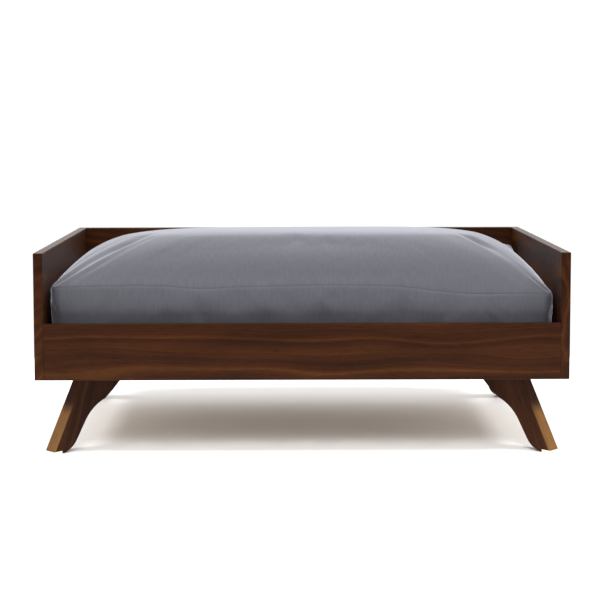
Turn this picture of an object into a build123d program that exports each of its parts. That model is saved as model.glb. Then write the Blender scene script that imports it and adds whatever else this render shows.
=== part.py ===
from build123d import *
import os
from math import sqrt

# Dog bed with frame: a low walnut box on four splayed legs, with a slatted deck and a loose
# box cushion. Millimetres. X is the width, Y runs from front to back and Z is up. The origin
# is on the floor, under the middle of the box.

# driving dimensions of the box
width = 914
depth = 584
board = 16  # thickness of the side, back and front boards
underside = 132  # height of the box's lower edge above the floor
side_height = 218
rail_height = 96
ease = 1.5  # radius of the eased edges

# driving dimensions of the legs
leg_thickness = 26
leg_inset = 21.5  # from both outer planes to the middle of the foot's outer face
leg_top_outer = 66  # the outer edge leans in by this much over the leg's height
leg_top_inner = 166
foot_length = 19.6  # flat part of the foot, along the leg
lip_height = 1  # the heel lip ends this far above the floor
glide_height = 5
glide_length = 18.4  # along the leg
glide_width = 24.6
glide_corner = 3
glide_ease = 1.2
glide_centre = 9.8  # along the leg, from the foot's outer face
bolt_stations = (84, 130)  # leg bolts, along the leg

# driving dimensions of the deck
leg_board_width = 144
leg_board_thickness = 18
cleat_width = 22
cleat_height = 16
slat_count = 9
slat_width = 60
slat_thickness = 14
slat_clearance = 1  # at each end of a slat
slat_end_gap = 6  # from the first slat's side to the side board

# driving dimensions of the cushion
cushion_width = 868
cushion_front = -269
cushion_back = 259
cushion_gap = 0.4  # between the cushion and the deck
seam_height = 288  # height of the top seam above the floor
crown_height = 373
cushion_corner = 26
cushion_hem = 9  # radius along the bottom seam
cover_thickness = 2
fill_gap = 0.4

# driving dimensions of the zip
zip_length = 680
zip_height = 236
tape_width = 13
tape_thickness = 0.8
coil_width = 4.6
coil_height = 1.6
slider_length = 14
slider_width = 9.4
slider_park = 325  # the slider stands at this X when the zip is closed
pull_length = 22

# hardware
screw_radius = 2
screw_head_radius = 4
screw_head_depth = 2.6
screw_point = 4  # length of the tapered point
recess_width = 4.4  # cross recess in a screw's head
recess_slot = 1
recess_depth = 1.6
fit = 0.05  # radial clearance round a fastener in wood
end_gap = 0.5  # past a fastener's end
dowel_radius = 4
dowel_length = 35
dowel_in_side = 10
cam_radius = 7.4
cam_depth = 12.4
cam_distance = 34  # from a board's end to the middle of its cam lock
cam_slot = (9, 1.6, 1.5)  # length, width and depth of the cross in a cam lock's face
stud_radius = 3
stud_head_radius = 3.4
stud_head_length = 3
stud_neck = 4  # from the cam lock's middle to the stud head
stud_clearance = 0.3
stud_in_side = 11
bolt_radius = 4
bolt_head_radius = 7
bolt_head_height = 4.4
bolt_length = 38  # under the head
bolt_clearance = 0.3
socket_radius = 2.5  # hexagon socket, across its flats
socket_depth = 2.6
washer_radius = 10
washer_thickness = 1.6
insert_radius = 6
insert_length = 20
nail_radius = 1.25
nail_length = 17
nail_head_radius = 3
nail_head_height = 1.2
nail_sink = 2  # the nail's head lies this far below the glide's top

# levels and planes worked out from the driving dimensions
half_width = width / 2
half_depth = depth / 2
inner_x = half_width - board
inner_y = half_depth - board
leg_board_top = underside + leg_board_thickness
cleat_top = leg_board_top + cleat_height
deck = cleat_top + slat_thickness
cleat_level = leg_board_top + cleat_height / 2
board_middle = half_depth - board / 2
slat_pitch = (2 * inner_x - 2 * slat_end_gap - slat_width) / (slat_count - 1)
slat_first = -inner_x + slat_end_gap + slat_width / 2
slat_places = [slat_first + slat_pitch * i for i in range(slat_count)]
slat_length = 2 * (inner_y - slat_clearance)

# fastener places
rail_cams = [180]
rail_dowels = [152, 208]
back_cams = [176, 306]
back_dowels = [148, 204, 334]
long_cleat_screws = [-350, -120, 120, 350]  # along X
side_cleat_screws = [-170, 0, 170]  # along Y
board_screw_insets = [60, 125]  # into the long cleats, from the side board's inner face
board_side_screws = [-200, -60, 60, 200]  # into the side cleats, along Y
cleat_screw_length = 32
board_screw_length = 30
slat_screw_length = 25

corners = {
    "front_left": (-1, -1),
    "front_right": (1, -1),
    "back_left": (-1, 1),
    "back_right": (1, 1),
}
ends = {"left": -1, "right": 1}

os.makedirs("parts", exist_ok=True)


def save(part, name):
    part.label = name
    export_step(part, f"parts/{name}.step")


def at(x, y, z, facing):
    """A place whose local Z points along facing."""
    return Plane(origin=(x, y, z), z_dir=facing).location


def corner_point(corner, station, z):
    """The point at that distance along the leg's middle plane from its foot."""
    side, end = corner
    inset = leg_inset + station / sqrt(2)
    return side * (half_width - inset), end * (half_depth - inset), z


def countersunk_screw(length):
    """A countersunk wood screw: its head is flush at Z = 0 and its point is down."""
    with BuildPart() as screw:
        with BuildSketch(Plane.XZ):
            with BuildLine():
                Polyline(
                    (0, 0),
                    (screw_head_radius, 0),
                    (screw_head_radius, -0.4),
                    (screw_radius, -screw_head_depth),
                    (screw_radius, -length + screw_point),
                    (0.4, -length),
                    (0, -length),
                    close=True,
                )
            make_face()
        revolve(axis=Axis.Z)
        with BuildSketch():
            Rectangle(recess_width, recess_slot)
            Rectangle(recess_slot, recess_width)
        extrude(amount=-recess_depth, mode=Mode.SUBTRACT)
    return screw.part


def screw_hole(length):
    """The space that a countersunk screw takes in wood, with its clearance."""
    with BuildPart() as hole:
        with BuildSketch(Plane.XZ):
            with BuildLine():
                Polyline(
                    (0, end_gap),
                    (screw_head_radius + fit, end_gap),
                    (screw_head_radius + fit, -0.4),
                    (screw_radius + fit, -screw_head_depth),
                    (screw_radius + fit, -length - end_gap),
                    (0, -length - end_gap),
                    close=True,
                )
            make_face()
        revolve(axis=Axis.Z)
    return hole.part


cleat_hole = screw_hole(cleat_screw_length)
board_hole = screw_hole(board_screw_length)
slat_hole = screw_hole(slat_screw_length)

# each fastener's place, with local Z pointing out of its head
long_cleat_places = {
    end: [at(x, end * (inner_y - cleat_width), cleat_level, (0, -end, 0)) for x in long_cleat_screws]
    for end in (-1, 1)
}
side_cleat_places = {
    side: [at(side * (inner_x - cleat_width), y, cleat_level, (-side, 0, 0)) for y in side_cleat_screws]
    for side in (-1, 1)
}
board_places = {
    side: [
        at(side * (inner_x - inset), end * (inner_y - cleat_width / 2), underside, (0, 0, -1))
        for inset in board_screw_insets
        for end in (-1, 1)
    ]
    + [at(side * (inner_x - cleat_width / 2), y, underside, (0, 0, -1)) for y in board_side_screws]
    for side in (-1, 1)
}
slat_screw_places = [
    at(x, end * (inner_y - cleat_width / 2), deck, (0, 0, 1)) for x in slat_places for end in (-1, 1)
]


def joint_heights(end, kind):
    """Heights of the cams or dowels in the front rail (end -1) or the back board (end 1)."""
    heights = {"cam": (rail_cams, back_cams), "dowel": (rail_dowels, back_dowels)}
    return heights[kind][0 if end < 0 else 1]


def joint_places(side, end, kind, facing):
    """Places of those joints where a cross board meets the inner face of a side board."""
    return [at(side * inner_x, end * board_middle, z, (facing, 0, 0)) for z in joint_heights(end, kind)]


# --- side boards: grain from front to back, every edge eased

for name, side in ends.items():
    with BuildPart() as side_board:
        with Locations((side * (inner_x + board / 2), 0, underside + side_height / 2)):
            Box(board, depth, side_height)
        fillet(side_board.edges(), ease)
        for end in (-1, 1):
            with Locations(*joint_places(side, end, "dowel", -side)):
                Hole(dowel_radius + fit, dowel_in_side + end_gap)
            with Locations(*joint_places(side, end, "cam", -side)):
                Hole(stud_radius + fit, stud_in_side + end_gap)
        with Locations(*side_cleat_places[side]):
            add(cleat_hole, mode=Mode.SUBTRACT)
    save(side_board.part, f"side_panel_{name}")

# --- back board and front rail, between the side boards

for name, end, height in (("back_panel", 1, side_height), ("front_rail", -1, rail_height)):
    with BuildPart() as cross_board:
        with Locations((0, end * board_middle, underside + height / 2)):
            Box(2 * inner_x, board, height)
        fillet(cross_board.edges().filter_by(Axis.X), ease)
        for side in (-1, 1):
            with Locations(*joint_places(side, end, "dowel", side)):
                Hole(dowel_radius + fit, dowel_length - dowel_in_side + end_gap)
            with Locations(*joint_places(side, end, "cam", side)):
                Hole(stud_head_radius + stud_clearance, cam_distance)
            with Locations(
                *[
                    at(side * (inner_x - cam_distance), end * inner_y, z, (0, -end, 0))
                    for z in joint_heights(end, "cam")
                ]
            ):
                Hole(cam_radius + fit, cam_depth + 2 * fit)
        with Locations(*long_cleat_places[end]):
            add(cleat_hole, mode=Mode.SUBTRACT)
    save(cross_board.part, name)

# --- dowels, cam studs and cam locks of the knock-down joints

with BuildPart() as dowels:
    for side in (-1, 1):
        for end in (-1, 1):
            for z in joint_heights(end, "dowel"):
                start = side * (inner_x + dowel_in_side)
                with Locations(at(start, end * board_middle, z, (-side, 0, 0))):
                    Cylinder(dowel_radius, dowel_length, align=(Align.CENTER, Align.CENTER, Align.MIN))
    chamfer(dowels.edges().filter_by(GeomType.CIRCLE), 0.8)
save(dowels.part, "corner_dowels")

with BuildPart() as studs:
    for side in (-1, 1):
        for end in (-1, 1):
            for z in joint_heights(end, "cam"):
                start = side * (inner_x + stud_in_side)
                with Locations(at(start, end * board_middle, z, (-side, 0, 0))):
                    Cylinder(
                        stud_radius,
                        stud_in_side + cam_distance - stud_head_length,
                        align=(Align.CENTER, Align.CENTER, Align.MIN),
                    )
                neck = side * (inner_x - cam_distance + stud_neck)
                with Locations(at(neck, end * board_middle, z, (-side, 0, 0))):
                    Cylinder(
                        stud_head_radius,
                        stud_head_length,
                        align=(Align.CENTER, Align.CENTER, Align.MIN),
                    )
save(studs.part, "cam_studs")

slot_length, slot_width, slot_depth = cam_slot

with BuildPart() as cam_locks:
    for side in (-1, 1):
        for end in (-1, 1):
            for z in joint_heights(end, "cam"):
                middle = side * (inner_x - cam_distance)
                with Locations(at(middle, end * inner_y, z, (0, -end, 0))):
                    Cylinder(cam_radius, cam_depth, align=(Align.CENTER, Align.CENTER, Align.MAX))
                    with Locations((0, 0, -slot_depth / 2)):
                        Box(slot_length, slot_width, slot_depth, mode=Mode.SUBTRACT)
                        Box(slot_width, slot_length, slot_depth, mode=Mode.SUBTRACT)
                with Locations(at(middle + side * cam_radius, end * board_middle, z, (side, 0, 0))):
                    Hole(stud_head_radius + stud_clearance, cam_radius + stud_neck)
save(cam_locks.part, "cam_locks")

# --- legs: boards stood on edge on the diagonal of each corner. Along the leg, stations are
# counted from the foot's outer face. The inner edge runs from the top in a round knee to a
# small cusp, then in a hollow to the straight shank, and ends in a round toe with a heel lip.


def leg_outline(plane):
    with BuildSketch(plane) as outline:
        with BuildLine():
            outer = Line((0, glide_height), (leg_top_outer, underside))
            top = Line(outer @ 1, (leg_top_inner, underside))
            knee = ThreePointArc(top @ 1, (134.5, 101.8), (110.7, 83.6))
            hollow = ThreePointArc(knee @ 1, (87.6, 71.6), (66.5, 48))
            shank = Line(hollow @ 1, (50, 21.6))
            toe = ThreePointArc(shank @ 1, (38.2, 8.2), (21.5, lip_height))
            lip = Line(toe @ 1, (foot_length, lip_height))
            heel = Line(lip @ 1, (foot_length, glide_height))
            Line(heel @ 1, outer @ 0)
        make_face()
    return outline.sketch


for name, corner in corners.items():
    side, end = corner
    along = Vector(-side, -end, 0).normalized()
    leg_plane = Plane(
        origin=corner_point(corner, 0, 0), x_dir=along, z_dir=along.cross(Vector(0, 0, 1))
    )
    with BuildPart() as leg:
        extrude(leg_outline(leg_plane), amount=leg_thickness / 2, both=True)
        broad_faces = leg.faces().filter_by(leg_plane)
        arrises = broad_faces.edges().filter_by(
            lambda edge: 2 < edge.center().Z < underside - 0.5 and edge.length > 8
        )
        fillet(arrises, ease)
        with Locations(*[at(*corner_point(corner, s, underside), (0, 0, 1)) for s in bolt_stations]):
            Hole(insert_radius + fit, insert_length)
            Hole(bolt_radius + bolt_clearance, bolt_length - leg_board_thickness + 4)
        with Locations(at(*corner_point(corner, glide_centre, glide_height), (0, 0, -1))):
            Hole(nail_radius + fit, nail_length - 1)
    save(leg.part, f"leg_{name}")

    with BuildPart() as glide:
        with BuildSketch(Plane(origin=corner_point(corner, glide_centre, 0), x_dir=along)):
            RectangleRounded(glide_length, glide_width, glide_corner)
        extrude(amount=glide_height)
        fillet(glide.faces().sort_by(Axis.Z)[0].edges(), glide_ease)
        with Locations(at(*corner_point(corner, glide_centre, glide_height), (0, 0, 1))):
            CounterBoreHole(nail_radius + fit, nail_head_radius + fit, nail_sink + 0.2, nail_sink + 0.2)
    save(glide.part, f"glide_{name}")

with BuildPart() as nails:
    for corner in corners.values():
        with Locations(corner_point(corner, glide_centre, glide_height - nail_sink)):
            Cylinder(nail_head_radius, nail_head_height, align=(Align.CENTER, Align.CENTER, Align.MIN))
            Cylinder(nail_radius, nail_length, align=(Align.CENTER, Align.CENTER, Align.MIN))
save(nails.part, "glide_nails")

bolt_places = [corner_point(corner, s, leg_board_top) for corner in corners.values() for s in bolt_stations]

with BuildPart() as inserts:
    with Locations(*[Vector(*place) - Vector(0, 0, leg_board_thickness) for place in bolt_places]):
        Cylinder(insert_radius, insert_length, align=(Align.CENTER, Align.CENTER, Align.MAX))
        Cylinder(
            bolt_radius + fit,
            insert_length,
            align=(Align.CENTER, Align.CENTER, Align.MAX),
            mode=Mode.SUBTRACT,
        )
save(inserts.part, "leg_inserts")

with BuildPart() as washers:
    with Locations(*bolt_places):
        Cylinder(washer_radius, washer_thickness, align=(Align.CENTER, Align.CENTER, Align.MIN))
        Cylinder(
            bolt_radius + bolt_clearance,
            washer_thickness,
            align=(Align.CENTER, Align.CENTER, Align.MIN),
            mode=Mode.SUBTRACT,
        )
save(washers.part, "leg_bolt_washers")

with BuildPart() as leg_bolts:
    with Locations(*[Vector(*place) + Vector(0, 0, washer_thickness) for place in bolt_places]):
        Cylinder(bolt_head_radius, bolt_head_height, align=(Align.CENTER, Align.CENTER, Align.MIN))
        Cylinder(bolt_radius, bolt_length, align=(Align.CENTER, Align.CENTER, Align.MAX))
    fillet(leg_bolts.faces().group_by(Axis.Z)[-1].edges(), 2)
    with BuildSketch(Plane.XY.offset(leg_board_top + washer_thickness + bolt_head_height)):
        with Locations(*[place[:2] for place in bolt_places]):
            RegularPolygon(socket_radius, 6, major_radius=False)
    extrude(amount=-socket_depth, mode=Mode.SUBTRACT)
save(leg_bolts.part, "leg_bolts")

# --- leg boards, flush with the box's lower edge

for name, side in ends.items():
    with BuildPart() as leg_board:
        with Locations((side * (inner_x - leg_board_width / 2), 0, underside + leg_board_thickness / 2)):
            Box(leg_board_width, 2 * inner_y, leg_board_thickness)
        free_side = leg_board.faces().sort_by(Axis.X)[0 if side > 0 else -1]
        fillet(free_side.edges().filter_by(Axis.Y), ease)
        for end in (-1, 1):
            with Locations(*[corner_point((side, end), s, leg_board_top) for s in bolt_stations]):
                Hole(bolt_radius + bolt_clearance, leg_board_thickness)
        with Locations(*board_places[side]):
            add(board_hole, mode=Mode.SUBTRACT)
    save(leg_board.part, f"leg_board_{name}")

# --- cleats round the inside of the box, and the slats on them

for name, end in (("front", -1), ("back", 1)):
    with BuildPart() as long_cleat:
        with Locations((0, end * (inner_y - cleat_width / 2), cleat_level)):
            Box(2 * inner_x, cleat_width, cleat_height)
        with Locations(*long_cleat_places[end]):
            add(cleat_hole, mode=Mode.SUBTRACT)
        with Locations(*slat_screw_places):
            add(slat_hole, mode=Mode.SUBTRACT)
        with Locations(*board_places[-1], *board_places[1]):
            add(board_hole, mode=Mode.SUBTRACT)
    save(long_cleat.part, f"cleat_{name}")

for name, side in ends.items():
    with BuildPart() as side_cleat:
        with Locations((side * (inner_x - cleat_width / 2), 0, cleat_level)):
            Box(cleat_width, 2 * (inner_y - cleat_width), cleat_height)
        with Locations(*side_cleat_places[side]):
            add(cleat_hole, mode=Mode.SUBTRACT)
        with Locations(*board_places[side]):
            add(board_hole, mode=Mode.SUBTRACT)
    save(side_cleat.part, f"cleat_{name}")

for number, x in enumerate(slat_places, start=1):
    with BuildPart() as slat:
        with Locations((x, 0, cleat_top + slat_thickness / 2)):
            Box(slat_width, slat_length, slat_thickness)
        fillet(slat.edges().filter_by(Axis.Y), 2)
        with Locations(*[place for place in slat_screw_places if abs(place.position.X - x) < 1]):
            add(slat_hole, mode=Mode.SUBTRACT)
    save(slat.part, f"slat_{number}")

screw_groups = {
    "cleat_screws": (
        cleat_screw_length,
        long_cleat_places[-1] + long_cleat_places[1] + side_cleat_places[-1] + side_cleat_places[1],
    ),
    "leg_board_screws": (board_screw_length, board_places[-1] + board_places[1]),
    "slat_screws": (slat_screw_length, slat_screw_places),
}
for name, (length, places) in screw_groups.items():
    with BuildPart() as screws:
        with Locations(*places):
            add(countersunk_screw(length))
    save(screws.part, name)

# --- cushion: upright boxing, a top seam and a crowned top. The crown is the same curve seen
# from the front and from the side, and the two meet in a soft fold towards each corner.


def crown_outline(plane, low, high, inset):
    """The cushion's section across one direction, from low to high."""
    middle = (low + high) / 2
    half = (high - low) / 2
    base = deck + cushion_gap + inset
    seam = seam_height - inset / 2
    crown = crown_height - inset
    rise = crown - seam
    hem = cushion_hem - inset
    with BuildSketch(plane) as outline:
        with BuildLine():
            for way in (1, -1):
                edge = middle + way * half
                floor_line = Line((middle, base), (edge - way * hem, base))
                corner = RadiusArc(floor_line @ 1, (edge, base + hem), -way * hem)
                upright = Line(corner @ 1, (edge, seam))
                Bezier(
                    upright @ 1,
                    (edge - way * 0.015 * half, seam + 0.72 * rise),
                    (middle + way * 0.7 * half, crown),
                    (middle, crown),
                )
        make_face()
    return outline.sketch


def cushion_form(inset):
    """The whole cushion, or the same form smaller by inset all round."""
    half = cushion_width / 2 - inset
    front = cushion_front + inset
    back = cushion_back - inset
    from_front = Plane(origin=(0, 0, 0), x_dir=(1, 0, 0), z_dir=(0, -1, 0))
    from_side = Plane(origin=(0, 0, 0), x_dir=(0, 1, 0), z_dir=(1, 0, 0))
    with BuildPart() as form:
        extrude(crown_outline(from_front, -half, half, inset), amount=half_depth, both=True)
        extrude(
            crown_outline(from_side, front, back, inset),
            amount=half_width,
            both=True,
            mode=Mode.INTERSECT,
        )
        with BuildSketch(Plane.XY.offset(deck)) as plan:
            with Locations((0, (front + back) / 2)):
                RectangleRounded(2 * half, back - front, cushion_corner - inset)
        extrude(plan.sketch, amount=crown_height, mode=Mode.INTERSECT)
    return form.part


with BuildPart() as cushion_cover:
    add(cushion_form(0))
    add(cushion_form(cover_thickness), mode=Mode.SUBTRACT)
    with Locations((0, cushion_back - cover_thickness / 2, zip_height)):
        Box(zip_length, 2 * cover_thickness, 8, mode=Mode.SUBTRACT)
save(cushion_cover.part, "cushion_cover")

insert = cushion_form(cover_thickness + fill_gap)
save(insert, "cushion_insert")

# --- zip across the cushion's rear boxing, closed, with its slider parked at the right

tape_face = cushion_back + tape_thickness
coil_face = tape_face + coil_height

with BuildPart() as zip_tape:
    for side in (-1, 1):
        with Locations((0, cushion_back + tape_thickness / 2, zip_height + side * (tape_width / 2 + 0.2))):
            Box(zip_length + 24, tape_thickness, tape_width)
save(zip_tape.part, "zip_tape")

with BuildPart() as zip_coil:
    with Locations((0, tape_face + coil_height / 2, zip_height)):
        Box(zip_length, coil_height, coil_width)
    fillet(zip_coil.faces().sort_by(Axis.Y)[-1].edges().filter_by(Axis.X), 0.5)
save(zip_coil.part, "zip_coil")

with BuildPart() as zip_stops:
    for side in (-1, 1):
        with Locations((side * (zip_length / 2 + 2), tape_face + 1, zip_height)):
            Box(3, 2, 6.5)
    fillet(zip_stops.faces().group_by(Axis.Y)[-1].edges(), 0.5)
save(zip_stops.part, "zip_stops")

channel_gap = 0.4
plate_low = coil_face + channel_gap
plate_top = plate_low + 1.4
arch_height = 2.4  # clear height under the arch
arch_thickness = 1.2
arch_length = 10

with BuildPart() as slider:
    with BuildSketch(Plane.XZ.offset(-tape_face - 0.3)) as slider_plan:
        with Locations((slider_park, zip_height)):
            RectangleRounded(slider_length, slider_width, 2.2)
    extrude(slider_plan.sketch, amount=-(plate_top - tape_face - 0.3))
    with Locations((slider_park, tape_face + (plate_low - tape_face) / 2, zip_height)):
        Box(
            slider_length + 1,
            plate_low - tape_face,
            coil_width + 2 * channel_gap,
            mode=Mode.SUBTRACT,
        )
    with Locations((slider_park, plate_top + (arch_height + arch_thickness) / 2, zip_height)):
        Box(arch_length, arch_height + arch_thickness, 1.6)
    with Locations((slider_park, plate_top + arch_height / 2, zip_height)):
        Box(arch_length - 2 * arch_thickness, arch_height, 2, mode=Mode.SUBTRACT)
save(slider.part, "zip_slider")

pin_radius = 0.85
pin_x = slider_park - 2.6
pin_y = plate_top + arch_height / 2

with BuildPart() as pull:
    with Locations((pin_x, pin_y, zip_height)):
        Cylinder(pin_radius, 6.4)
    for side in (-1, 1):
        with Locations((pin_x - 4, pin_y, zip_height + side * 2.4)):
            Box(8, 2 * pin_radius - 0.3, 1.6)
    with BuildSketch(Plane.XZ.offset(-pin_y)) as tab:
        with Locations((pin_x - 4.6 - pull_length / 2, zip_height)):
            RectangleRounded(pull_length - 4, 7.4, 2.4)
        with Locations((pin_x - pull_length + 1.6, zip_height)):
            Circle(1.6, mode=Mode.SUBTRACT)
    extrude(tab.sketch, amount=pin_radius - 0.15, both=True)
save(pull.part, "zip_pull")
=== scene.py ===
import math

import bmesh
import bpy
from mathutils import Matrix, Vector, noise


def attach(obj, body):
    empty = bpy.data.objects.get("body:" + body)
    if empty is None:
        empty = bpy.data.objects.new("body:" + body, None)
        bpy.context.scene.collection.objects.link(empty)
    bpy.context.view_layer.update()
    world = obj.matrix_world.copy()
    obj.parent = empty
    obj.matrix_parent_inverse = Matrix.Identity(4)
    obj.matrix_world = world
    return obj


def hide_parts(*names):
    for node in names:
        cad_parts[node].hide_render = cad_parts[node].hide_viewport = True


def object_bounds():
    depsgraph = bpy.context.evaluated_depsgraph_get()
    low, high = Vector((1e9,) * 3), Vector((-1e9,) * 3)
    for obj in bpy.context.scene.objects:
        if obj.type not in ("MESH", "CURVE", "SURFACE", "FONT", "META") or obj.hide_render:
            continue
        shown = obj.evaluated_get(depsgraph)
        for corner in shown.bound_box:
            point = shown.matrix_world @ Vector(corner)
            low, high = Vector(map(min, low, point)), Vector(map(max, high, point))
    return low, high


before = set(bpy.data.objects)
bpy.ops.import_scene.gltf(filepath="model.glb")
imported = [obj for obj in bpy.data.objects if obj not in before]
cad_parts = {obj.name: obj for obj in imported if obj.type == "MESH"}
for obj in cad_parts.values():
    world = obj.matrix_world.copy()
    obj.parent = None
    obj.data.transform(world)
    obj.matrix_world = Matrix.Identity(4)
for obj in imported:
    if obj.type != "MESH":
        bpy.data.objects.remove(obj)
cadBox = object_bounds()
mm = 0.001


# small helpers


def linear(hexColour):  # an sRGB hex colour as the linear RGBA that shaders take
    parts = [int(hexColour[i:i + 2], 16) / 255 for i in (1, 3, 5)]
    return [p / 12.92 if p <= 0.04045 else ((p + 0.055) / 1.055) ** 2.4 for p in parts] + [1.0]


def smooth(low, high, value):  # 0 below low, 1 above high, an S curve between
    t = min(1.0, max(0.0, (value - low) / (high - low)))
    return t * t * (3 - 2 * t)


def addNode(tree, kind, links=None, **settings):  # one node; links maps a socket to a value or a socket
    node = tree.nodes.new(kind)
    for name, value in settings.items():
        setattr(node, name, value)
    for socket, value in (links or {}).items():
        if isinstance(value, bpy.types.NodeSocket):
            tree.links.new(value, node.inputs[socket])
        else:
            node.inputs[socket].default_value = value
    return node


def newMaterial(name):  # an empty node tree with its Principled shader joined to the output
    material = bpy.data.materials.new(name)
    material.use_nodes = True
    tree = material.node_tree
    tree.nodes.clear()
    shader = addNode(tree, "ShaderNodeBsdfPrincipled")
    addNode(tree, "ShaderNodeOutputMaterial", {"Surface": shader.outputs[0]})
    return material, tree, shader


def setStops(ramp, stops):  # stops are (place, hex colour)
    elements = ramp.color_ramp.elements
    while len(elements) > 1:
        elements.remove(elements[-1])
    elements[0].position, elements[0].color = stops[0][0], linear(stops[0][1])
    for place, colour in stops[1:]:
        elements.new(place).color = linear(colour)


def addPiece(name, bm, material, body, replaces=()):  # a finished bmesh becomes a piece on a body
    mesh = bpy.data.meshes.new(name)
    bm.to_mesh(mesh)
    bm.free()
    for polygon in mesh.polygons:
        polygon.use_smooth = True
        polygon.material_index = 0
    mesh.materials.append(material)
    piece = bpy.data.objects.new(name, mesh)
    bpy.context.scene.collection.objects.link(piece)
    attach(piece, body)
    if replaces:
        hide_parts(*replaces)
    return piece


# camera, light and floor

studio = {
    "cameraPlace": (-0.0297, -2.8255, 0.5851),
    "cameraTilt": 4.35,  # degrees below the horizon
    "cameraTurn": -0.58,
    "cameraRoll": -0.06,
    "lens": 90,
    "shiftY": -0.12,
    "suns": (  # name, strength, then in degrees: width, tilt from straight above, turn from the front
        ("overheadSoftbox", 0.3, 70, 10, 180),
        ("frontSoftbox", 1.5, 26, 43, 0),
        ("backSoftbox", 1.4, 40, 50, 180),
        ("leftPanel", 1.5, 14, 40, -70),
        ("rightPanel", 1.5, 14, 40, 70),
    ),
    "backLevel": 0.8,
    "frontLevel": 1.25,
    "frontGloss": 0.1,  # what polished faces see in front and behind
    "backGloss": 1.3,
    "belowLevel": 0.1,
    "seenLevel": 1.05,  # the plain white that the camera sees behind the bed
    "floorTone": "#f0efee",
    "floorReach": (1.1, 0.75),  # half its width and depth; past it the white cove goes on
}


def makeCamera(spec):
    data = bpy.data.cameras.new("camera")
    data.lens = spec["lens"]
    data.sensor_width = 36
    data.shift_y = spec["shiftY"]
    data.clip_end = 200
    camera = bpy.data.objects.new("camera", data)
    camera.location = spec["cameraPlace"]
    turn = Matrix.Rotation(math.radians(spec["cameraTurn"]), 3, "Z")
    tilt = Matrix.Rotation(math.radians(90 - spec["cameraTilt"]), 3, "X")
    roll = Matrix.Rotation(math.radians(spec["cameraRoll"]), 3, "Z")
    camera.rotation_euler = (turn @ tilt @ roll).to_euler()
    bpy.context.scene.collection.objects.link(camera)
    bpy.context.scene.camera = camera


def makeLight(spec):
    for name, strength, across, tilt, turn in spec["suns"]:
        data = bpy.data.lights.new(name, "SUN")
        data.energy = strength
        data.angle = math.radians(across)
        lamp = bpy.data.objects.new(name, data)
        lamp.visible_glossy = turn == 180  # the front and side lights leave no shine
        lamp.rotation_euler = (math.radians(tilt), 0, math.radians(turn))
        bpy.context.scene.collection.objects.link(lamp)

    # a white cove that lights a little more from the front than from behind, dim below the horizon
    # reflections see a dark front and a bright back; the camera sees plain white
    world = bpy.data.worlds.new("whiteCove")
    bpy.context.scene.world = world
    world.use_nodes = True
    tree = world.node_tree
    tree.nodes.clear()
    direction = addNode(tree, "ShaderNodeTexCoord").outputs["Generated"]
    parts = addNode(tree, "ShaderNodeSeparateXYZ", {0: direction})
    behind = addNode(
        tree, "ShaderNodeMapRange",
        {"Value": parts.outputs["Y"], "From Min": -0.5, "From Max": 0.7,
         "To Min": spec["frontLevel"], "To Max": spec["backLevel"]},
        interpolation_type="SMOOTHSTEP",
    )
    lightPath = addNode(tree, "ShaderNodeLightPath")
    behindGloss = addNode(
        tree, "ShaderNodeMapRange",
        {"Value": parts.outputs["Y"], "From Min": -0.1, "From Max": 0.7,
         "To Min": spec["frontGloss"], "To Max": spec["backGloss"]},
        interpolation_type="SMOOTHSTEP",
    )
    level = addNode(
        tree, "ShaderNodeMix",
        {"Factor": lightPath.outputs["Is Glossy Ray"], 2: behind.outputs[0], 3: behindGloss.outputs[0]})
    above = addNode(
        tree, "ShaderNodeMapRange",
        {"Value": parts.outputs["Z"], "From Min": -0.02, "From Max": 0.02,
         "To Min": spec["belowLevel"], "To Max": level.outputs[0]},
    )
    lit = addNode(tree, "ShaderNodeBackground", {"Color": (1, 1, 1, 1), "Strength": above.outputs[0]})
    seen = addNode(tree, "ShaderNodeBackground", {"Color": (1, 1, 1, 1), "Strength": spec["seenLevel"]})
    both = addNode(
        tree, "ShaderNodeMixShader",
        {0: lightPath.outputs["Is Camera Ray"], 1: lit.outputs[0], 2: seen.outputs[0]},
    )
    addNode(tree, "ShaderNodeOutputWorld", {"Surface": both.outputs[0]})


def makeFloor(spec):
    bm = bmesh.new()
    bmesh.ops.create_grid(bm, x_segments=1, y_segments=1, size=1)
    bmesh.ops.scale(bm, vec=(*spec["floorReach"], 1), verts=bm.verts)
    mesh = bpy.data.meshes.new("floor")
    bm.to_mesh(mesh)
    bm.free()
    floor = bpy.data.objects.new("floor", mesh)
    bpy.context.scene.collection.objects.link(floor)
    material, tree, shader = newMaterial("whitePaintedFloor")  # matt white paint, seen from above only
    shader.inputs["Roughness"].default_value = 0.9
    shader.inputs["Base Color"].default_value = linear(spec["floorTone"])
    shader.inputs["Specular IOR Level"].default_value = 0.1
    side = addNode(tree, "ShaderNodeNewGeometry")
    clear = addNode(tree, "ShaderNodeBsdfTransparent")
    both = addNode(
        tree, "ShaderNodeMixShader",
        {0: side.outputs["Backfacing"], 1: shader.outputs[0], 2: clear.outputs[0]},
    )
    tree.links.new(both.outputs[0], tree.nodes["Material Output"].inputs["Surface"])
    mesh.materials.append(material)


makeCamera(studio)
makeLight(studio)
makeFloor(studio)
bpy.context.scene.view_settings.view_transform = "Standard"
print("studio ready")


# woods

figure = {  # how the rings wander, the same in every wood
    "shift": (3.0, 0.12, 0.03),  # metres that one stave's rings may differ from the next one's
    "lean": (0, 0.06, 0.05),  # radians that the pith leans from the board
    "warpScale": (3, 14, 14),  # per metre along and across the grain
    "warp": (0, 0.05, 0.05),
    "driftScale": (4, 30, 30),
    "drift": 0.25,  # how far the tone drifts
    "seedStep": 0.37,  # metres along the grain from one board's pattern to the next one's
}

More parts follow.
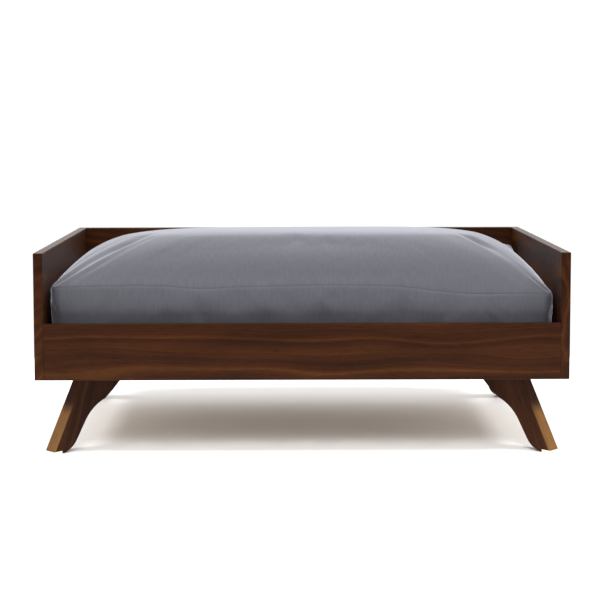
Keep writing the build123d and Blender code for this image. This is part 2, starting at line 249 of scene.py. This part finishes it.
walnut = {
    "stops": [(0.28, "#251208"), (0.42, "#2c1508"), (0.5, "#311808"), (0.58, "#361b0a"), (0.72, "#41240d")],
    "poreTone": "#180b04",
    # the next two paint a pale highlight up each leg's outer edge from the foot, where the side light falls
    # below the box's shadow
    "paintedFootLight": "#6f4e2b",
    "paintedLightLength": 95 * mm,
    "ringSpacing": 13 * mm,
    "pithDepth": 60 * mm,  # how far behind the board's face the tree's middle lies
    "pore": (0.45 * mm, 9 * mm),  # width and length of a pore
    "pores": 0.7,
    "fibres": 0.2,
    "roughness": 0.5,
    "specular": 0.1,
}

spruce = {
    "stops": [(0.3, "#a58d74"), (0.42, "#b19a80"), (0.55, "#baa58c"), (0.75, "#c2ae96")],
    "poreTone": "#8f7049",
    "ringSpacing": 4 * mm,
    "pithDepth": 60 * mm,
    "pore": (0.5 * mm, 14 * mm),
    "pores": 0.25,
    "fibres": 0.1,
    "roughness": 0.62,
    "specular": 0.35,
}


def woodMaterial(name, spec, grain, face, seed, staveWidth=10.0, paintedLightFoot=None):
    # solid wood, so end grain and long grain agree: rings round a slightly tilted pith, warped by noise
    # the pith lies behind the face; staves are glued side by side across the grain, each with its own rings
    # the last argument is the foot of a leg's outer edge; from there a pale tone is painted a little way up
    # the edge, a painted highlight where the side light falls below the box's shadow
    material, tree, shader = newMaterial(name)
    grain, face = Vector(grain).normalized(), Vector(face).normalized()
    basis = Matrix((grain, face.cross(grain), face))
    turn = basis.to_euler()
    place = addNode(tree, "ShaderNodeTexCoord").outputs["Object"]
    along = seed * figure["seedStep"]
    turned = addNode(
        tree, "ShaderNodeMapping", {"Vector": place, "Rotation": turn, "Location": (along, 0, 0)})
    parts = addNode(tree, "ShaderNodeSeparateXYZ", {0: turned.outputs[0]})
    stave = addNode(
        tree, "ShaderNodeMath", {0: parts.outputs["Y"], 1: 1 / staveWidth, 2: 0.5 + seed * 0.11},
        operation="MULTIPLY_ADD")
    staveFloor = addNode(tree, "ShaderNodeMath", {0: stave.outputs[0]}, operation="FLOOR")
    staveSeed = addNode(tree, "ShaderNodeMath", {0: staveFloor.outputs[0], 1: seed * 3.7}, operation="ADD")
    draw = addNode(tree, "ShaderNodeTexWhiteNoise", {"W": staveSeed.outputs[0]}, noise_dimensions="1D")
    shift = addNode(
        tree, "ShaderNodeVectorMath",
        {0: draw.outputs["Color"], 1: figure["shift"]}, operation="MULTIPLY")
    staved = addNode(
        tree, "ShaderNodeVectorMath", {0: turned.outputs[0], 1: shift.outputs[0]}, operation="ADD").outputs[0]

    # the pith leans, which opens the rings into long slopes and arches
    lean = addNode(tree, "ShaderNodeMapping", {"Vector": staved, "Rotation": figure["lean"]})
    warpPlace = addNode(tree, "ShaderNodeMapping", {"Vector": staved, "Scale": figure["warpScale"]})
    warp = addNode(tree, "ShaderNodeTexNoise", {"Vector": warpPlace.outputs[0], "Scale": 1.0, "Detail": 1.0})
    centred = addNode(
        tree, "ShaderNodeVectorMath", {0: warp.outputs["Color"], 1: (0.5, 0.5, 0.5)}, operation="SUBTRACT")
    bent = addNode(
        tree, "ShaderNodeVectorMath", {0: centred.outputs[0], 1: figure["warp"], 2: lean.outputs[0]},
        operation="MULTIPLY_ADD")
    fromPith = addNode(
        tree, "ShaderNodeVectorMath", {0: bent.outputs[0], 1: (0, 1, 1), 2: (0, 0.01, spec["pithDepth"])},
        operation="MULTIPLY_ADD")
    radius = addNode(tree, "ShaderNodeVectorMath", {0: fromPith.outputs[0]}, operation="LENGTH")
    ring = addNode(
        tree, "ShaderNodeTexNoise",
        {"W": radius.outputs["Value"], "Scale": 1 / spec["ringSpacing"], "Detail": 3.5, "Roughness": 0.6},
        noise_dimensions="1D")
    ringRamp = addNode(tree, "ShaderNodeValToRGB", {0: ring.outputs["Fac"]})
    setStops(ringRamp, spec["stops"])

    # broad drifts of tone, then pores and fibres along the grain
    driftPlace = addNode(tree, "ShaderNodeMapping", {"Vector": staved, "Scale": figure["driftScale"]})
    drift = addNode(tree, "ShaderNodeTexNoise", {"Vector": driftPlace.outputs[0], "Scale": 1.0, "Detail": 3.0})
    driftTone = addNode(
        tree, "ShaderNodeMapRange",
        {"Value": drift.outputs["Fac"], "From Min": 0.3, "From Max": 0.7,
         "To Min": 1 - figure["drift"], "To Max": 1 + figure["drift"]})
    wide, long = spec["pore"]
    fibrePlace = addNode(
        tree, "ShaderNodeMapping", {"Vector": staved, "Scale": (1 / long, 1 / wide, 1 / wide)})
    fibre = addNode(
        tree, "ShaderNodeTexNoise",
        {"Vector": fibrePlace.outputs[0], "Scale": 0.5, "Detail": 2.0, "Roughness": 0.6})
    isPore = addNode(
        tree, "ShaderNodeMapRange",
        {"Value": fibre.outputs["Fac"], "From Min": 0.36, "From Max": 0.28,
         "To Min": 0.0, "To Max": spec["pores"]})
    heart = ringRamp.outputs[0]
    # painted highlight: a pale tone along the leg's outer edge, fading out a little way up from the foot,
    # standing for the side light that falls there below the box's shadow
    if paintedLightFoot is not None:
        start = basis @ Vector(paintedLightFoot)
        inFromEdge = addNode(
            tree, "ShaderNodeMath", {0: parts.outputs["Y"], 1: start.y}, operation="SUBTRACT")
        across = addNode(tree, "ShaderNodeMath", {0: inFromEdge.outputs[0]}, operation="ABSOLUTE")
        nearEdge = addNode(
            tree, "ShaderNodeMapRange",
            {"Value": across.outputs[0], "From Min": 3 * mm, "From Max": 1 * mm,
             "To Min": 0.0, "To Max": 0.85})
        nearFoot = addNode(
            tree, "ShaderNodeMapRange",
            {"Value": parts.outputs["X"], "From Min": start.x + along - spec["paintedLightLength"],
             "From Max": start.x + along - 0.7 * spec["paintedLightLength"], "To Min": 0.0},
            interpolation_type="SMOOTHSTEP")
        tree.links.new(nearEdge.outputs[0], nearFoot.inputs["To Max"])
        heart = addNode(
            tree, "ShaderNodeMix", {"Factor": nearFoot.outputs[0], 6: heart, 7: linear(spec["paintedFootLight"])},
            data_type="RGBA").outputs[2]
    pored = addNode(
        tree, "ShaderNodeMix",
        {"Factor": isPore.outputs[0], 6: heart, 7: linear(spec["poreTone"])}, data_type="RGBA")
    fibreTone = addNode(
        tree, "ShaderNodeMapRange",
        {"Value": fibre.outputs["Fac"], "From Min": 0.3, "From Max": 0.7,
         "To Min": 1 - spec["fibres"], "To Max": 1 + spec["fibres"]})
    staveTone = addNode(
        tree, "ShaderNodeMapRange",
        {"Value": draw.outputs["Value"], "From Min": 0.0, "From Max": 1.0, "To Min": 0.86, "To Max": 1.12})
    tone = addNode(
        tree, "ShaderNodeMath", {0: fibreTone.outputs[0], 1: staveTone.outputs[0]}, operation="MULTIPLY")
    tone = addNode(
        tree, "ShaderNodeMath", {0: tone.outputs[0], 1: driftTone.outputs[0]}, operation="MULTIPLY")
    toned = addNode(
        tree, "ShaderNodeVectorMath", {0: pored.outputs[2], "Scale": tone.outputs[0]}, operation="SCALE")
    tree.links.new(toned.outputs[0], shader.inputs["Base Color"])
    rough = addNode(
        tree, "ShaderNodeMapRange",
        {"Value": fibre.outputs["Fac"], "From Min": 0.3, "From Max": 0.7,
         "To Min": spec["roughness"] + 0.06, "To Max": spec["roughness"] - 0.05})
    tree.links.new(rough.outputs[0], shader.inputs["Roughness"])
    bump = addNode(
        tree, "ShaderNodeBump", {"Height": fibre.outputs["Fac"], "Strength": 0.25, "Distance": 0.12 * mm})
    tree.links.new(bump.outputs[0], shader.inputs["Normal"])
    shader.inputs["IOR"].default_value = 1.5
    shader.inputs["Specular IOR Level"].default_value = spec["specular"]
    return material


def dress(node, material):  # gives a CAD node its material
    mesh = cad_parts[node].data
    mesh.materials.clear()
    mesh.materials.append(material)
    for polygon in mesh.polygons:
        polygon.material_index = 0


alongX, alongY, upward = Vector((1, 0, 0)), Vector((0, 1, 0)), Vector((0, 0, 1))
dress("front_rail", woodMaterial("oiledWalnutRail", walnut, alongX, -alongY, 1.0))
dress("back_panel", woodMaterial("oiledWalnutBack", walnut, alongX, -alongY, 2.0, 110 * mm))
dress("side_panel_left", woodMaterial("oiledWalnutLeft", walnut, alongY, alongX, 3.0, 55 * mm))
dress("side_panel_right", woodMaterial("oiledWalnutRight", walnut, alongY, -alongX, 4.0, 55 * mm))
legs = {
    "slope": math.tan(math.radians(63)),  # the outer edge against the floor
    "footInset": 21.5 * mm,  # of the outer edge's foot, from both outer faces of the box
    "footHeight": 5 * mm,
    "corners": (
        ("leg_front_left", (-1, -1)), ("leg_front_right", (1, -1)),
        ("leg_back_left", (-1, 1)), ("leg_back_right", (1, 1)),
    ),
}
for index, (name, out) in enumerate(legs["corners"]):
    outward = Vector((*out, 0)).normalized()
    foot = Vector((
        out[0] * (cadBox[1][0] - legs["footInset"]), out[1] * (cadBox[1][1] - legs["footInset"]),
        legs["footHeight"]))
    # each leg's outer edge gets a painted highlight near its foot
    material = woodMaterial(
        "oiledWalnut_" + name, walnut, outward - upward * legs["slope"], Vector((out[1], -out[0], 0)),
        5.0 + index, paintedLightFoot=foot)
    dress(name, material)
deckWood = {
    "across": woodMaterial("planedSpruceDeck", spruce, alongY, upward, 9.0),
    "along": woodMaterial("planedSpruceCleat", spruce, alongX, upward, 10.0),
}
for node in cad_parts:
    if node in ("cleat_front", "cleat_back"):
        dress(node, deckWood["along"])
    elif node.startswith(("slat_", "leg_board_", "cleat_")) and not node.endswith("screws"):
        dress(node, deckWood["across"])
print("woods ready")


# metals and plastics


def plainMaterial(name, colour, roughness, metallic=0.0, ior=1.5, grit=0.35, gritSize=0.8 * mm):
    # one even stuff, whose roughness wanders a little as handled or plated surfaces do
    material, tree, shader = newMaterial(name)
    place = addNode(tree, "ShaderNodeTexCoord").outputs["Object"]
    speckle = addNode(tree, "ShaderNodeTexNoise", {"Vector": place, "Scale": 1 / gritSize, "Detail": 3.0})
    rough = addNode(
        tree, "ShaderNodeMapRange",
        {"Value": speckle.outputs["Fac"], "From Min": 0.3, "From Max": 0.7,
         "To Min": roughness * (1 - grit), "To Max": roughness * (1 + grit)})
    tree.links.new(rough.outputs[0], shader.inputs["Roughness"])
    shader.inputs["Base Color"].default_value = linear(colour)
    shader.inputs["Metallic"].default_value = metallic
    shader.inputs["IOR"].default_value = ior
    return material


zincPlated = plainMaterial("zincPlatedSteel", "#c4c6c8", 0.32, 1.0)  # bright zinc over steel
for node in ("leg_bolts", "leg_bolt_washers", "slat_screws", "cleat_screws", "leg_board_screws",
             "glide_nails", "cam_studs"):
    dress(node, zincPlated)
dress("leg_inserts", plainMaterial("turnedBrass", "#d8b26a", 0.28, 1.0))
nickelled = plainMaterial("nickelPlatedZinc", "#bdbab6", 0.25, 1.0)  # die castings, tumbled then plated
for node in ("cam_locks", "zip_slider", "zip_pull", "zip_stops"):
    dress(node, nickelled)
nylon = plainMaterial("mouldedNylon", "#d3d0c0", 0.45, 0.0, 1.53)
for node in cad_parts:
    if node.startswith("glide_") and node != "glide_nails":
        dress(node, nylon)
dress("corner_dowels", woodMaterial("turnedBeech", dict(spruce, ringSpacing=1.6 * mm), alongY, upward, 11.0))
print("hardware ready")


# cushion cover

cover = {
    "halfWidth": 434 * mm,
    "front": -269 * mm,
    "back": 259 * mm,
    "bottom": 180.4 * mm,
    "seam": 290 * mm,
    "crown": 368 * mm,
    "cornerRadius": 21 * mm,
    "hem": 7 * mm,
    "cell": 8 * mm,
    "roundEnds": (4.6, 5.4),  # how square the crown is towards the left and the right end
    "roundDepth": (2.6, 3.2),  # the same from front to back, at the left and the right end
    "roundEdge": (0.6, 0.6),
    "crownForward": 0.34,  # the highest line lies nearer the front
    "pullIn": (2 * mm, 6 * mm),  # the end seams and the long seams, halfway between the corners
    "seamSag": 15 * mm,  # the front seam runs lower towards the right end
    "seamDip": 4 * mm,
    "ear": 25 * mm,
    "wander": 1.2 * mm,  # of the front seam, up and down
    "wrinkle": 2.5 * mm,  # soft upright wrinkles in the front boxing
    "wrinklesPerMetre": 26,
    "tuck": (4 * mm, 30 * mm),  # the boxing leans in towards the deck, at the ends and in front
    "zipHeight": 236 * mm,
    "zipHalf": 17 * mm,  # half the flat strip that the zip is sewn to
    "pressure": 4.0,
    "spare": -0.004,  # the cover is cut this much larger than its filling
    "stretch": 20,
    "shear": 8,
    "bending": 0.3,
    "clothMass": 0.2,
    "seamHold": 0.9,
    "frames": 20,
    "moveCap": 7 * mm,
    "seamWidth": 1.1 * mm,
    "seamDepth": 2.0 * mm,
    "liningGap": 5 * mm,
}


def seamHeight(spec, x, y):  # the top seam wanders along the front and is level at the back
    nearFront = smooth(0.0, 0.27, -y)
    sag = spec["seamSag"] * smooth(0.14, 0.32, x)
    dip = spec["seamDip"] * math.exp(-((x + 0.176) / 0.05) ** 2)
    wander = spec["wander"] * math.sin(x * 19 + 0.6)
    ear = spec["ear"] * smooth(0.26, 0.434, x) * smooth(0.06, 0.25, y)  # the back right corner stands up
    return spec["seam"] + nearFront * (wander - sag - dip) + ear


def coverPoint(spec, cube, part):
    # cube is a point of the cube; the cover is that cube with a crowned top, full sides and round corners
    middle = (spec["front"] + spec["back"]) / 2
    a, b, r = spec["halfWidth"], (spec["back"] - spec["front"]) / 2, spec["cornerRadius"]
    u, v, w = cube
    x, y = (0.3 * t + 0.7 * math.sin(t * math.pi / 2) for t in (u, v))
    flatX, flatY = x, y
    x, y = x * a, y * b
    dx, dy = abs(x) - (a - r), abs(y) - (b - r)
    if dx > 0 and dy > 0:
        shrink = max(dx, dy) / math.hypot(dx, dy)
        x = math.copysign(a - r + dx * shrink, x)
        y = math.copysign(b - r + dy * shrink, y)
    rim = seamHeight(spec, x, y)
    inward = 1 if part == "top" else w ** 3
    x -= spec["pullIn"][0] * inward * flatX * abs(flatX) ** 3 * (1 - flatY ** 4)
    y -= spec["pullIn"][1] * inward * flatY * abs(flatY) ** 3 * (1 - flatX ** 4)
    if part == "top":
        squareness = spec["roundEnds"][x > 0]
        left, right = spec["roundDepth"]
        depthSquareness = left + (right - left) * smooth(-1, 1, flatX)
        edgeX, edgeY = spec["roundEdge"]
        shiftedY = flatY + spec["crownForward"] * (1 - flatY ** 2)
        dome = (1 - abs(flatX) ** squareness) ** edgeX * (1 - abs(shiftedY) ** depthSquareness) ** edgeY
        return Vector((x, y + middle, rim + (spec["crown"] - rim) * dome))
    lean = (1 - w) ** 1.6
    inFront = smooth(0.8, 1.0, -flatY)
    if v < 1:
        x -= math.copysign(spec["tuck"][0] * lean, x) * smooth(0.8, 1.0, abs(flatX))
        y += spec["tuck"][1] * lean * inFront
    if part == "bottom":
        return Vector((x * (1 - spec["hem"] / a), y * (1 - spec["hem"] / b) + middle, spec["bottom"]))
    folds = noise.noise(Vector((x * spec["wrinklesPerMetre"], w * 1.3, 2.0)))
    y += spec["wrinkle"] * folds * math.sin(math.pi * w) * inFront
    return Vector((x, y + middle, spec["bottom"] + (rim - spec["bottom"]) * w))


def makeCoverCage(spec):
    bm = bmesh.new()
    bmesh.ops.create_cube(bm, size=2)
    height = spec["seam"] - spec["bottom"]
    sizes = (2 * spec["halfWidth"], spec["back"] - spec["front"], height)
    for axis, size in enumerate(sizes):
        along = [e for e in bm.edges if abs(abs((e.verts[0].co - e.verts[1].co)[axis]) - 2) < 0.01]
        bmesh.ops.subdivide_edges(bm, edges=along, cuts=round(size / spec["cell"]) - 1, use_grid_fill=True)
    weave = bm.loops.layers.uv.new("weave")
    a, b = sizes[0] / 2, sizes[1] / 2
    for face in bm.faces:
        normal = face.normal
        for loop in face.loops:
            x, y, z = loop.vert.co.x * a, loop.vert.co.y * b, loop.vert.co.z * height / 2
            if abs(normal.z) > 0.5:
                loop[weave].uv = (x, y)
            elif abs(normal.y) > 0.5:
                loop[weave].uv = (x, z) if normal.y < 0 else (2 * a + 2 * b - x, z)
            else:
                loop[weave].uv = (a + b + y, z) if normal.x > 0 else (3 * a + 3 * b - y, z)
    held = []
    seam = []
    for vert in bm.verts:
        u, v, w = vert.co
        part = "top" if w > 0.999 else "bottom" if w < -0.999 else "side"
        if part == "top" and max(abs(u), abs(v)) > 0.999:
            seam.append(vert.index)
        vert.co = coverPoint(spec, (u, v, (w + 1) / 2), part)
        inZip = abs(vert.co.z - spec["zipHeight"]) < spec["zipHalf"] + spec["cell"]
        if part == "bottom" or part == "side" and v > 0.999 and inZip:
            held.append(vert.index)
    bm.normal_update()
    return bm, seam, held


def inflate(bm, spec, seam, held):  # blows the cover up as cloth, each point kept near where it began
    mesh = bpy.data.meshes.new("inflating")
    bm.to_mesh(mesh)
    cloth = bpy.data.objects.new("inflating", mesh)
    bpy.context.scene.collection.objects.link(cloth)
    pins = cloth.vertex_groups.new(name="pins")
    pins.add(seam, spec["seamHold"], "REPLACE")
    pins.add(held, 1.0, "REPLACE")
    modifier = cloth.modifiers.new("cloth", "CLOTH")
    settings = modifier.settings
    settings.vertex_group_mass = "pins"
    settings.quality = 6
    settings.mass = spec["clothMass"]
    settings.tension_stiffness = settings.compression_stiffness = spec["stretch"]
    settings.shear_stiffness = spec["shear"]
    settings.bending_stiffness = spec["bending"]
    settings.use_pressure = True
    settings.uniform_pressure_force = spec["pressure"]
    settings.shrink_min = spec["spare"]
    settings.effector_weights.gravity = 0
    modifier.point_cache.frame_end = spec["frames"]
    scene = bpy.context.scene
    for step in range(1, spec["frames"] + 1):
        scene.frame_set(step)
    blown = cloth.evaluated_get(bpy.context.evaluated_depsgraph_get()).to_mesh()
    for vert, after in zip(bm.verts, blown.vertices):
        move = after.co - vert.co
        if move.length > spec["moveCap"]:
            move *= spec["moveCap"] / move.length
        vert.co += move
    bpy.data.objects.remove(cloth)
    bpy.data.meshes.remove(mesh)
    scene.frame_set(1)
    print("cover inflated")


def fabricMaterial(name, colour, thread, sheen=0.8):  # plain weave, one thread over and one under
    material, tree, shader = newMaterial(name)
    flat = addNode(tree, "ShaderNodeUVMap", uv_map="weave").outputs[0]
    turnX = addNode(
        tree, "ShaderNodeTexWave", {"Vector": flat, "Scale": 1 / thread / 20}, bands_direction="X")
    turnY = addNode(
        tree, "ShaderNodeTexWave", {"Vector": flat, "Scale": 1 / thread / 20}, bands_direction="Y")
    over = addNode(tree, "ShaderNodeTexChecker", {"Vector": flat, "Scale": 1 / thread})
    height = addNode(
        tree, "ShaderNodeMix",
        {"Factor": over.outputs["Fac"], 2: turnX.outputs["Fac"], 3: turnY.outputs["Fac"]})
    slubs = addNode(
        tree, "ShaderNodeTexNoise",
        {"Vector": addNode(tree, "ShaderNodeMapping", {"Vector": flat, "Scale": (300, 60, 1)}).outputs[0],
         "Scale": 1.0, "Detail": 3.0})
    tone = addNode(
        tree, "ShaderNodeMapRange",
        {"Value": slubs.outputs["Fac"], "From Min": 0.3, "From Max": 0.7, "To Min": 0.93, "To Max": 1.07})
    base = addNode(
        tree, "ShaderNodeVectorMath", {0: linear(colour)[:3], "Scale": tone.outputs[0]}, operation="SCALE")
    bump = addNode(
        tree, "ShaderNodeBump", {"Height": height.outputs[0], "Strength": 0.25, "Distance": 0.15 * mm})
    tree.links.new(base.outputs[0], shader.inputs["Base Color"])
    tree.links.new(bump.outputs[0], shader.inputs["Normal"])
    shader.inputs["Roughness"].default_value = 0.7
    shader.inputs["Specular IOR Level"].default_value = 0.3
    shader.inputs["Sheen Weight"].default_value = sheen
    shader.inputs["Sheen Roughness"].default_value = 0.3
    shader.inputs["Sheen Tint"].default_value = linear("#f2f4ff")
    return material


def makeCover(spec):
    bm, seam, held = makeCoverCage(spec)
    inflate(bm, spec, seam, held)
    bm.verts.ensure_lookup_table()
    lining = bm.copy()
    rim = {bm.verts[i] for i in seam}
    edges = [e for e in bm.edges if e.verts[0] in rim and e.verts[1] in rim]
    made = bmesh.ops.bevel(
        bm, geom=edges, offset=spec["seamWidth"], segments=2, profile=0.5, affect="EDGES", material=-1)
    bm.normal_update()
    added = set(made["verts"])
    inner = [v for v in added if all(e.other_vert(v) in added for e in v.link_edges)]
    for vert in inner:
        vert.co -= vert.normal * spec["seamDepth"]
    piece = addPiece("cushionCover", bm, fabricMaterial("greyWovenPolyester", "#505057", 0.5 * mm),
                     "cushion", ["cushion_cover"])
    finer = piece.modifiers.new("finer", "SUBSURF")
    finer.levels = finer.render_levels = 1
    lining.normal_update()
    for vert in lining.verts:
        vert.co -= vert.normal * spec["liningGap"]
    insert = addPiece("cushionInsert", lining, fabricMaterial("whiteNonwoven", "#dcdcd9", 0.9 * mm, 0.2),
                      "cushion", ["cushion_insert"])


makeCover(cover)
print("cushion ready")


# zip

zipper = {
    "height": cover["zipHeight"],
    "half": 340 * mm,
    "front": 259.8 * mm,
    "depth": 1.6 * mm,
    "pitch": 1.5 * mm,
    "tooth": 3.6 * mm,
    "reach": 0.5 * mm,  # how far each row's teeth stand past the middle
    "filament": 0.55 * mm,
    "stitchLine": 10 * mm,
    "stitch": 3 * mm,
    "rib": 0.6 * mm,
}


def makeCoil(spec):  # two rows of coil loops that mesh, seen as rings set alternately high and low
    bm = bmesh.new()
    ratio = spec["filament"] / spec["tooth"]
    for row in (-1, 1):
        ring = bmesh.ops.create_circle(bm, segments=6, radius=spec["filament"] / 2)["verts"]
        bmesh.ops.translate(bm, verts=ring, vec=(0, spec["tooth"] / 2 * (1 - ratio), 0))
        geom = ring + list({e for v in ring for e in v.link_edges})
        before = set(bm.verts) - set(ring)
        bmesh.ops.spin(
            bm, geom=geom, axis=(1, 0, 0), cent=(0, 0, 0), angle=math.tau, steps=14, use_merge=True)
        loop = [v for v in bm.verts if v not in before]
        bmesh.ops.scale(bm, vec=(1, spec["depth"] / spec["tooth"], 1), verts=loop)
        start = (-spec["half"] + spec["filament"] + (row + 1) * spec["pitch"] / 4,
                 spec["front"] + spec["depth"] / 2, spec["height"] + row * spec["reach"])
        bmesh.ops.translate(bm, verts=loop, vec=start)
    bmesh.ops.recalc_face_normals(bm, faces=bm.faces)
    coil = addPiece("zipCoil", bm, plainMaterial("dyedNylonCoil", "#45464c", 0.35, 0.0, 1.53),
                    "cushion", ["zip_coil"])
    loops = coil.modifiers.new("loops", "ARRAY")
    loops.count = int(2 * spec["half"] / spec["pitch"])
    loops.use_relative_offset = False
    loops.use_constant_offset = True
    loops.constant_offset_displace = (spec["pitch"], 0, 0)


def tapeMaterial(name, colour, thread, spec):  # ribbed woven tape with a line of stitches near its outer edge
    material, tree, shader = newMaterial(name)
    place = addNode(tree, "ShaderNodeTexCoord").outputs["Object"]
    parts = addNode(tree, "ShaderNodeSeparateXYZ", {0: place})
    ribs = addNode(
        tree, "ShaderNodeTexWave", {"Vector": place, "Scale": 1 / spec["rib"] / 20}, bands_direction="X")
    height = addNode(tree, "ShaderNodeMath", {0: parts.outputs["Z"], 1: spec["height"]}, operation="SUBTRACT")
    fromMiddle = addNode(tree, "ShaderNodeMath", {0: height.outputs[0]}, operation="ABSOLUTE")
    fromLine = addNode(
        tree, "ShaderNodeMath", {0: fromMiddle.outputs[0], 1: spec["stitchLine"]}, operation="SUBTRACT")
    offLine = addNode(tree, "ShaderNodeMath", {0: fromLine.outputs[0]}, operation="ABSOLUTE")
    inLine = addNode(
        tree, "ShaderNodeMapRange",
        {"Value": offLine.outputs[0], "From Min": 0.35 * mm, "From Max": 0.2 * mm,
         "To Min": 0.0, "To Max": 1.0})
    beat = addNode(
        tree, "ShaderNodeMath", {0: parts.outputs["X"], 1: math.tau / spec["stitch"]}, operation="MULTIPLY")
    wave = addNode(tree, "ShaderNodeMath", {0: beat.outputs[0]}, operation="SINE")
    dash = addNode(
        tree, "ShaderNodeMapRange",
        {"Value": wave.outputs[0], "From Min": -0.8, "From Max": -0.5, "To Min": 0.0, "To Max": 1.0})
    stitches = addNode(
        tree, "ShaderNodeMath", {0: inLine.outputs[0], 1: dash.outputs[0]}, operation="MULTIPLY")
    tone = addNode(
        tree, "ShaderNodeMix", {"Factor": stitches.outputs[0], 6: linear(colour), 7: linear(thread)},
        data_type="RGBA")
    raised = addNode(
        tree, "ShaderNodeMath", {0: stitches.outputs[0], 1: 2.0, 2: ribs.outputs["Fac"]},
        operation="MULTIPLY_ADD")
    bump = addNode(
        tree, "ShaderNodeBump", {"Height": raised.outputs[0], "Strength": 0.3, "Distance": 0.15 * mm})
    tree.links.new(tone.outputs[2], shader.inputs["Base Color"])
    tree.links.new(bump.outputs[0], shader.inputs["Normal"])
    shader.inputs["Roughness"].default_value = 0.75
    shader.inputs["Specular IOR Level"].default_value = 0.3
    shader.inputs["Sheen Weight"].default_value = 0.4
    return material


makeCoil(zipper)
dress("zip_tape", tapeMaterial("ribbedPolyesterTape", "#55565c", "#7d7e84", zipper))
print("zip ready")
